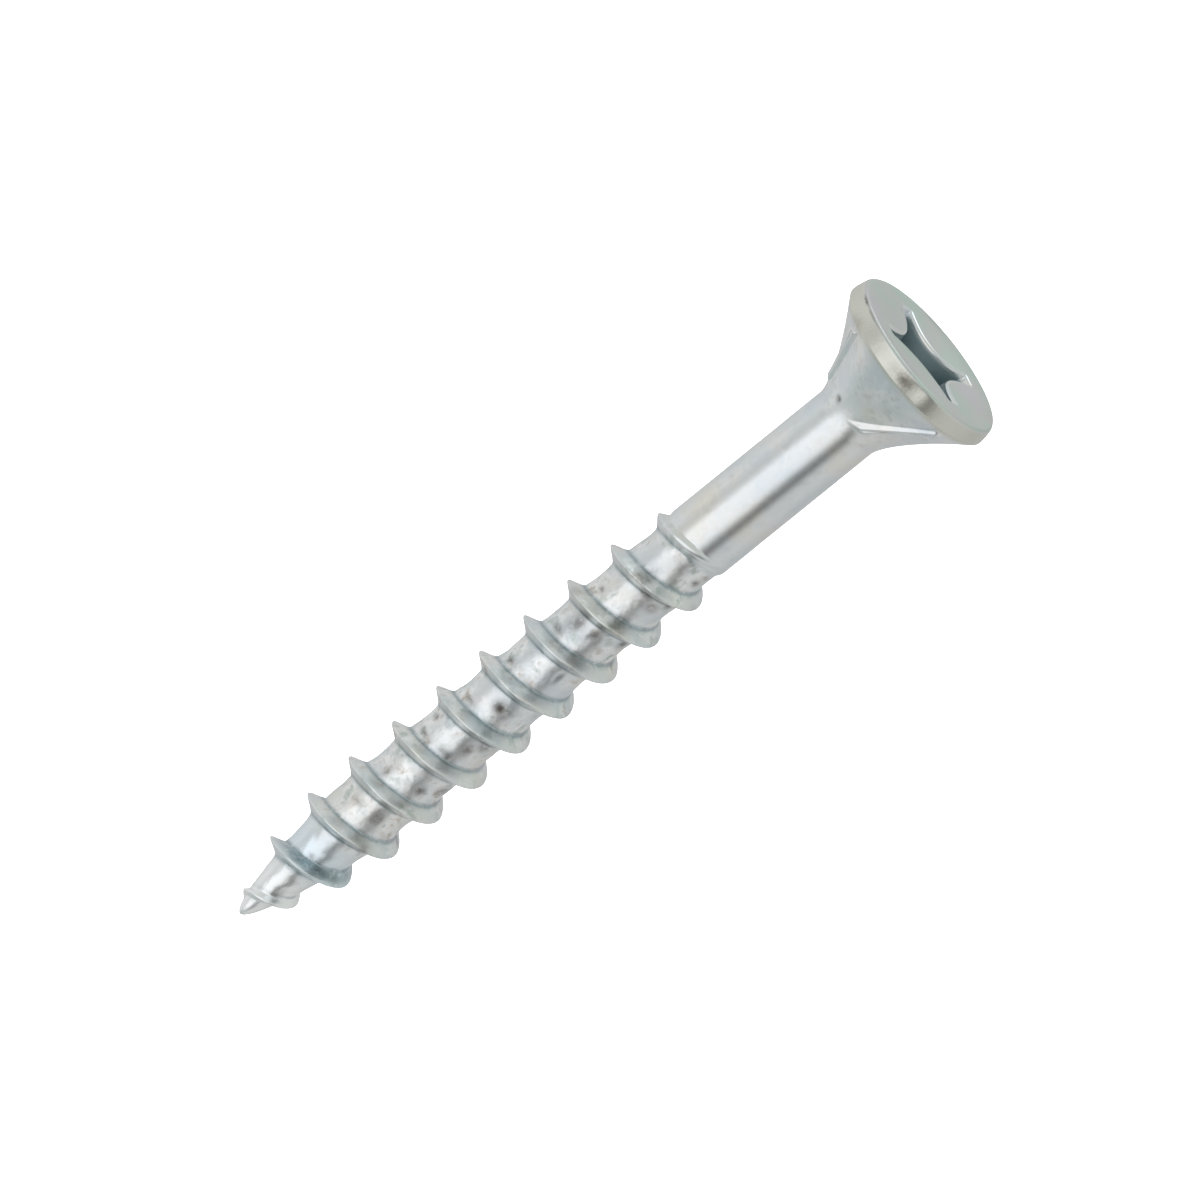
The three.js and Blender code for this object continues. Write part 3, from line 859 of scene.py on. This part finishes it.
# Floor and light
studio = {
    "floorDrop": 0.4,  # below the tip, in screw lengths
    "floorSize": 1.1,
    "floorGrey": (0.92, 0.92, 0.92, 1),
    "floorRoughness": 0.9,
    # degrees round from the camera, and brightness
    "walls": ((-180, 0.55), (-135, 0.69), (-90, 0.78), (-62, 0.64), (-50, 0.72), (-36, 1.12),
              (5, 1.04), (16, 0.86), (26, 0.40), (34, 0.23), (41, 0.21), (50, 0.42),
              (60, 0.63), (90, 0.65), (130, 0.55), (180, 0.55)),
    "windowLevel": 0.9,  # a wall brighter than this is window, and bluer
    "wallTint": (1, 1.01, 1.02),
    "windowTint": (1, 1.01, 1.045),
    # 0 straight down to 1 straight up, and how much of the walls shows there
    "wallShare": ((0.0, 0), (0.03, 0), (0.065, 1), (0.66, 1), (0.85, 0), (1.0, 0)),
    "ends": ((0.2, (0.50, 0.54, 0.545, 1)), (0.8, (0.62, 0.65, 0.63, 1))),
    "panelAim": (-0.225, -0.487, 0.844),
    "panelEdge": (0.955, 0.985),
    "panelColour": (1.9, 2.02, 2.16, 1),
    "topSize": 1.6,
    "topPower": 26,
    "topHeight": 0.9,
}


def makeFloor():
    # A plain square below the tip, which the plate doesn't mirror
    half, z = studio["floorSize"] / 2, tipHeight - studio["floorDrop"] * screwLength
    mesh = bpy.data.meshes.new("floor")
    mesh.from_pydata([(-half, -half, z), (half, -half, z), (half, half, z), (-half, half, z)],
                     [], [(0, 1, 2, 3)])
    floor = bpy.data.objects.new("floor", mesh)
    bpy.context.scene.collection.objects.link(floor)
    material = bpy.data.materials.new("pale_floor")
    material.use_nodes = True
    shader = material.node_tree.nodes["Principled BSDF"]
    shader.inputs["Base Color"].default_value = studio["floorGrey"]
    shader.inputs["Roughness"].default_value = studio["floorRoughness"]
    mesh.materials.append(material)
    floor.visible_glossy = False


def makeWorld():
    # A soft white room. Seen from the screw it is a gradient round the axis: a broad bright
    # window, a narrow gap beside it, and plain walls; paler above, cooler below
    world = bpy.data.worlds.new("studio")
    bpy.context.scene.world = world
    world.use_nodes = True
    tree = world.node_tree
    link = tree.links.new
    tree.nodes.clear()
    place = node(tree, "ShaderNodeTexCoord", (-1400, 0))
    parts = node(tree, "ShaderNodeSeparateXYZ", (-1200, 0))
    link(place.outputs["Generated"], parts.inputs["Vector"])
    bearing = node(tree, "ShaderNodeMath", (-1000, 100), operation="ARCTAN2")
    link(parts.outputs["Y"], bearing.inputs[0])
    link(parts.outputs["X"], bearing.inputs[1])
    # bearing from the camera, 0 to 1 round the circle, with 0.5 towards the camera
    shifted = node(tree, "ShaderNodeMath", (-840, 100), operation="MULTIPLY_ADD")
    link(bearing.outputs["Value"], shifted.inputs[0])
    shifted.inputs[1].default_value = 1 / (2 * math.pi)
    shifted.inputs[2].default_value = 0.5 - camera["round"] / (2 * math.pi)
    wrapped = node(tree, "ShaderNodeMath", (-680, 100), operation="FRACT")
    link(shifted.outputs["Value"], wrapped.inputs[0])
    stops = []
    for degrees, level in studio["walls"]:
        tint = studio["windowTint" if level > studio["windowLevel"] else "wallTint"]
        stops.append((0.5 + degrees / 360, tuple(level * part for part in tint) + (1,)))
    walls = rampNode(tree, (-500, 100), wrapped.outputs["Value"], stops)
    # above and below the walls
    upDown = rangeNode(tree, (-700, -200), parts.outputs["Z"], old=(-1, 1)).outputs["Result"]
    wallShare = rampNode(tree, (-500, -200), upDown, [
        (position, (share, share, share, 1)) for position, share in studio["wallShare"]])
    ends = rampNode(tree, (-500, -450), upDown, studio["ends"])
    mix = node(tree, "ShaderNodeMixRGB", (-200, 0))
    link(wallShare, mix.inputs["Fac"])
    link(ends, mix.inputs["Color1"])
    link(walls, mix.inputs["Color2"])
    # a small bright panel hung high behind the screw
    aimed = node(tree, "ShaderNodeVectorMath", (-700, -700), operation="DOT_PRODUCT")
    link(place.outputs["Generated"], aimed.inputs[0])
    aimed.inputs[1].default_value = studio["panelAim"]
    panel = rangeNode(tree, (-500, -700), aimed.outputs["Value"], old=studio["panelEdge"])
    lit = node(tree, "ShaderNodeMixRGB", (-100, -200), Color2=studio["panelColour"])
    link(panel.outputs["Result"], lit.inputs["Fac"])
    link(mix.outputs["Color"], lit.inputs["Color1"])
    room = node(tree, "ShaderNodeBackground", (0, 0))
    link(lit.outputs["Color"], room.inputs["Color"])
    white = node(tree, "ShaderNodeBackground", (0, -200))
    white.inputs["Color"].default_value = (1, 1, 1, 1)
    rays = node(tree, "ShaderNodeLightPath", (0, 300))
    choice = node(tree, "ShaderNodeMixShader", (250, 0))
    link(rays.outputs["Is Camera Ray"], choice.inputs["Fac"])
    link(room.outputs["Background"], choice.inputs[1])
    link(white.outputs["Background"], choice.inputs[2])
    output = node(tree, "ShaderNodeOutputWorld", (450, 0))
    link(choice.outputs["Shader"], output.inputs["Surface"])


def makeTopLight():
    # A big soft panel overhead lifts the floor to white; the plate doesn't mirror it
    data = bpy.data.lights.new("top_panel", "AREA")
    data.shape = "RECTANGLE"
    data.size, data.size_y = studio["topSize"], studio["topSize"]
    data.energy = studio["topPower"]
    lamp = bpy.data.objects.new("top_panel", data)
    bpy.context.scene.collection.objects.link(lamp)
    lamp.location = (0, 0, studio["topHeight"])
    lamp.visible_glossy = False
    lamp.visible_camera = False


makeFloor()
makeWorld()
makeTopLight()
bpy.context.scene.view_settings.view_transform = "Standard"
print("studio made")
